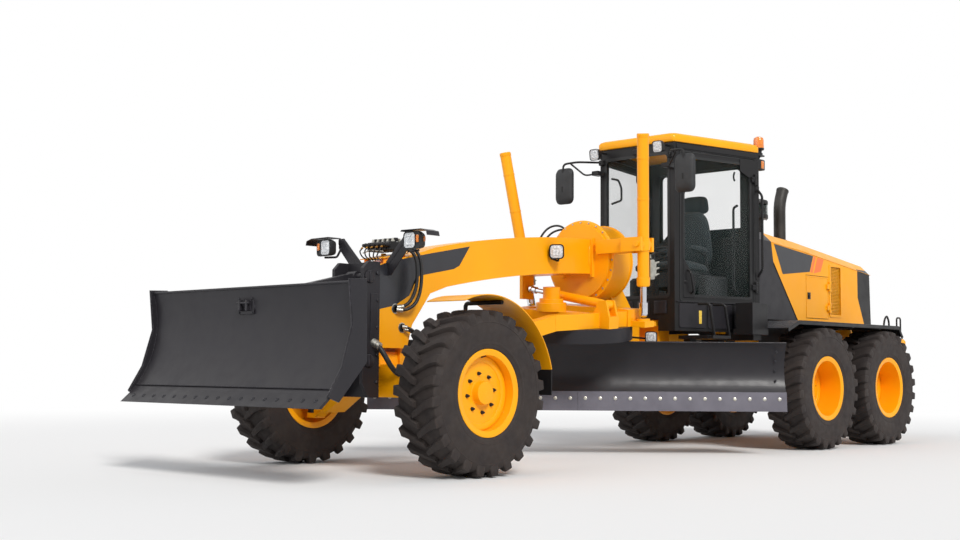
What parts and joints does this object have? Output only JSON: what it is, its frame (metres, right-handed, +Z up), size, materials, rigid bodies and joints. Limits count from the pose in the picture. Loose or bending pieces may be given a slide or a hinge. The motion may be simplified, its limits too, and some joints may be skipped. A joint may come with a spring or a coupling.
{
  "type": "motor grader",
  "caption": "Articulated motor grader with a curved front blade, an arched front frame, a turning mid-mounted moldboard, leaning front wheels, a glazed cab and tandem drive wheels.",
  "frame": {"origin": "on the ground, under the middle of the machine's bounding box", "axes": "+X forward, +Y to the machine's left, +Z up"},
  "size_m": [9.82, 3.1654, 3.5],
  "materials": {
    "yellow_paint": "gloss",
    "charcoal_paint": "satin",
    "black_paint": "satin",
    "tyre_rubber": "matte",
    "bare_steel": "brushed",
    "chromed_rod": "polished",
    "tinted_glass": "clear",
    "seat_plastic": "matte"
  },
  "bodies": {
    "rear_frame": {"rear_chassis": "yellow_paint", "tandem_cases": "yellow_paint", "counterweight": "yellow_paint", "engine_block": "black_paint", "engine_hood": "yellow_paint", "hood_cowl": "charcoal_paint", "rear_grille": "black_paint", "hood_stacks": "black_paint", "rear_fenders": "black_paint", "side_tanks": "black_paint", "cab_frame": "black_paint", "cab_roof": "yellow_paint", "cab_glass": "tinted_glass", "cab_interior": "seat_plastic", "cab_fittings": "black_paint"},
    "front_frame": {"gooseneck": "yellow_paint", "lift_saddle": "yellow_paint", "front_axle": "yellow_paint", "dozer_mount": "charcoal_paint", "neck_fittings": "black_paint"},
    "lean_left": {"lean_bracket_left": "yellow_paint"},
    "steer_left": {"knuckle_left": "black_paint", "front_fender_left": "yellow_paint"},
    "front_wheel_left": {"tyre_front_left": "tyre_rubber", "rim_front_left": "yellow_paint"},
    "lean_right": {"lean_bracket_right": "yellow_paint"},
    "steer_right": {"knuckle_right": "black_paint", "front_fender_right": "yellow_paint"},
    "front_wheel_right": {"tyre_front_right": "tyre_rubber", "rim_front_right": "yellow_paint"},
    "tandem_wheel_left": {"tyre_tandem_left": "tyre_rubber", "rim_tandem_left": "yellow_paint"},
    "tandem_wheel_right": {"tyre_tandem_right": "tyre_rubber", "rim_tandem_right": "yellow_paint"},
    "rear_wheel_left": {"tyre_rear_left": "tyre_rubber", "rim_rear_left": "yellow_paint"},
    "rear_wheel_right": {"tyre_rear_right": "tyre_rubber", "rim_rear_right": "yellow_paint"},
    "swivel": {"drawbar_swivel": "yellow_paint"},
    "drawbar": {"drawbar": "yellow_paint"},
    "circle": {"blade_circle": "charcoal_paint"},
    "carrier": {"blade_carrier": "charcoal_paint"},
    "blade": {"moldboard": "charcoal_paint", "cutting_edge": "bare_steel"},
    "dozer_arms": {"dozer_arms": "charcoal_paint"},
    "dozer_link": {"dozer_link": "charcoal_paint"},
    "dozer_blade": {"dozer_blade": "charcoal_paint"},
    "lift_barrel_left": {"lift_barrel_left": "yellow_paint"},
    "lift_rod_left": {"lift_rod_left": "chromed_rod"},
    "lift_barrel_right": {"lift_barrel_right": "yellow_paint"},
    "lift_rod_right": {"lift_rod_right": "chromed_rod"},
    "shift_barrel": {"shift_barrel": "yellow_paint"},
    "shift_rod": {"shift_rod": "chromed_rod"},
    "cab_door_left": {"cab_door_left": "black_paint", "door_glass_left": "tinted_glass"},
    "hood_door_left": {"hood_door_left": "yellow_paint"},
    "cab_door_right": {"cab_door_right": "black_paint", "door_glass_right": "tinted_glass"},
    "hood_door_right": {"hood_door_right": "yellow_paint"}
  },
  "joints": [
    {"name": "articulation", "type": "hinge", "parent": "rear_frame", "child": "front_frame", "pos_m": [-0.45, 0, 1.115], "axis": [0, 0, 1], "range_deg": [-25, 25]},
    {"name": "wheel_lean_left", "type": "hinge", "parent": "front_frame", "child": "lean_left", "pos_m": [3.13, 0.7, 0.56], "axis": [1, 0, 0], "range_deg": [-17, 17]},
    {"name": "steering_left", "type": "hinge", "parent": "lean_left", "child": "steer_left", "pos_m": [3.13, 0.89, 0.674], "axis": [0, 0, 1], "range_deg": [-45, 45]},
    {"name": "front_wheel_left_spin", "type": "hinge", "parent": "steer_left", "child": "front_wheel_left", "pos_m": [3.13, 1.077, 0.674], "axis": [0, 1, 0], "continuous": true},
    {"name": "wheel_lean_right", "type": "hinge", "parent": "front_frame", "child": "lean_right", "pos_m": [3.13, -0.7, 0.56], "axis": [1, 0, 0], "range_deg": [-17, 17]},
    {"name": "steering_right", "type": "hinge", "parent": "lean_right", "child": "steer_right", "pos_m": [3.13, -0.89, 0.674], "axis": [0, 0, 1], "range_deg": [-45, 45]},
    {"name": "front_wheel_right_spin", "type": "hinge", "parent": "steer_right", "child": "front_wheel_right", "pos_m": [3.13, -1.077, 0.674], "axis": [0, 1, 0], "continuous": true},
    {"name": "tandem_wheel_left_spin", "type": "hinge", "parent": "rear_frame", "child": "tandem_wheel_left", "pos_m": [-2.435, 1.077, 0.674], "axis": [0, 1, 0], "continuous": true},
    {"name": "tandem_wheel_right_spin", "type": "hinge", "parent": "rear_frame", "child": "tandem_wheel_right", "pos_m": [-2.435, -1.077, 0.674], "axis": [0, 1, 0], "continuous": true},
    {"name": "rear_wheel_left_spin", "type": "hinge", "parent": "rear_frame", "child": "rear_wheel_left", "pos_m": [-3.925, 1.077, 0.674], "axis": [0, 1, 0], "continuous": true},
    {"name": "rear_wheel_right_spin", "type": "hinge", "parent": "rear_frame", "child": "rear_wheel_right", "pos_m": [-3.925, -1.077, 0.674], "axis": [0, 1, 0], "continuous": true},
    {"name": "drawbar_swing", "type": "hinge", "parent": "front_frame", "child": "swivel", "pos_m": [2.88, 0, 0.95], "axis": [0, 0, 1], "range_deg": [-6.5, 6.5]},
    {"name": "drawbar_lift", "type": "hinge", "parent": "swivel", "child": "drawbar", "pos_m": [2.73, 0, 0.95], "axis": [-0.0074, 0.9964, -0.0843], "range_deg": [-13, 0]},
    {"name": "circle_turn", "type": "hinge", "parent": "drawbar", "child": "circle", "pos_m": [0.55, 0, 1.185], "axis": [-0.0877, -0.0847, -0.9925], "range_deg": [-6, 94]},
    {"name": "blade_tip", "type": "hinge", "parent": "circle", "child": "carrier", "pos_m": [0.2631, -0.27705, 0.64458], "axis": [0.6947, -0.7193, 0], "range_deg": [-20, 3]},
    {"name": "blade_side_shift", "type": "slide", "parent": "carrier", "child": "blade", "axis": [0.6947, -0.7193, 0], "range_m": [-0.5, 0.5]},
    {"name": "dozer_lift", "type": "hinge", "parent": "front_frame", "child": "dozer_arms", "pos_m": [3.455, 0, 0.93], "axis": [0, -1, 0], "range_deg": [-14, 14]},
    {"name": "dozer_link_swing", "type": "hinge", "parent": "front_frame", "child": "dozer_link", "pos_m": [3.455, 0, 1.64], "axis": [0, -1, 0], "range_deg": [-14, 14]},
    {"name": "dozer_level", "type": "hinge", "parent": "dozer_arms", "child": "dozer_blade", "pos_m": [4.46, 0, 0.7], "axis": [0, -1, 0], "range_deg": [-14, 14]},
    {"name": "lift_barrel_left_swing", "type": "hinge", "parent": "front_frame", "child": "lift_barrel_left", "pos_m": [0.36, 0.79, 2.1], "axis": [1, 0, 0], "range_deg": [-30.5, 30.5]},
    {"name": "lift_rod_left_slide", "type": "slide", "parent": "lift_barrel_left", "child": "lift_rod_left", "axis": [-0.1468, -0.1053, -0.9835], "range_m": [-0.001, 0.58]},
    {"name": "lift_barrel_right_swing", "type": "hinge", "parent": "front_frame", "child": "lift_barrel_right", "pos_m": [0.36, -0.79, 2.1], "axis": [1, 0, 0], "range_deg": [-30.5, 30.5]},
    {"name": "lift_rod_right_slide", "type": "slide", "parent": "lift_barrel_right", "child": "lift_rod_right", "axis": [-0.1468, 0.1053, -0.9835], "range_m": [-0.001, 0.58]},
    {"name": "shift_barrel_swing", "type": "hinge", "parent": "drawbar", "child": "shift_barrel", "pos_m": [0.67, 0.575, 1.497], "axis": [0.9961, 0, -0.088], "range_deg": [-25.5, 0.5]},
    {"name": "shift_rod_slide", "type": "slide", "parent": "shift_barrel", "child": "shift_rod", "axis": [0, -0.9817, 0.1903], "range_m": [-0.275, 0.275]},
    {"name": "cab_door_left_hinge", "type": "hinge", "parent": "rear_frame", "child": "cab_door_left", "pos_m": [-1.78852, 0.76428, 2.38], "axis": [0, 0, 1], "range_deg": [0, 85]},
    {"name": "hood_door_left_hinge", "type": "hinge", "parent": "rear_frame", "child": "hood_door_left", "pos_m": [-3.7303, 0.6145, 1.79], "axis": [0, 0, 1], "range_deg": [0, 80]},
    {"name": "cab_door_right_hinge", "type": "hinge", "parent": "rear_frame", "child": "cab_door_right", "pos_m": [-1.78852, -0.76428, 2.38], "axis": [0, 0, -1], "range_deg": [0, 85]},
    {"name": "hood_door_right_hinge", "type": "hinge", "parent": "rear_frame", "child": "hood_door_right", "pos_m": [-3.7303, -0.6145, 1.79], "axis": [0, 0, -1], "range_deg": [0, 80]}
  ],
  "couplings": [
    {"joint": "wheel_lean_right", "follows": "wheel_lean_left", "ratio": 1},
    {"joint": "steering_right", "follows": "steering_left", "ratio": 1},
    {"joint": "dozer_link_swing", "follows": "dozer_lift", "ratio": 1},
    {"joint": "dozer_level", "follows": "dozer_lift", "ratio": -1},
    {"joint": "lift_barrel_left_swing", "follows": "drawbar_swing", "ratio": -3.9},
    {"joint": "lift_rod_left_slide", "follows": "drawbar_lift", "m_per_rad": -2.5},
    {"joint": "lift_barrel_right_swing", "follows": "drawbar_swing", "ratio": -4.6},
    {"joint": "lift_rod_right_slide", "follows": "drawbar_lift", "m_per_rad": -2.5},
    {"joint": "shift_barrel_swing", "follows": "drawbar_lift", "ratio": 1.93},
    {"joint": "shift_rod_slide", "follows": "drawbar_swing", "m_per_rad": -2.25}
  ]
}
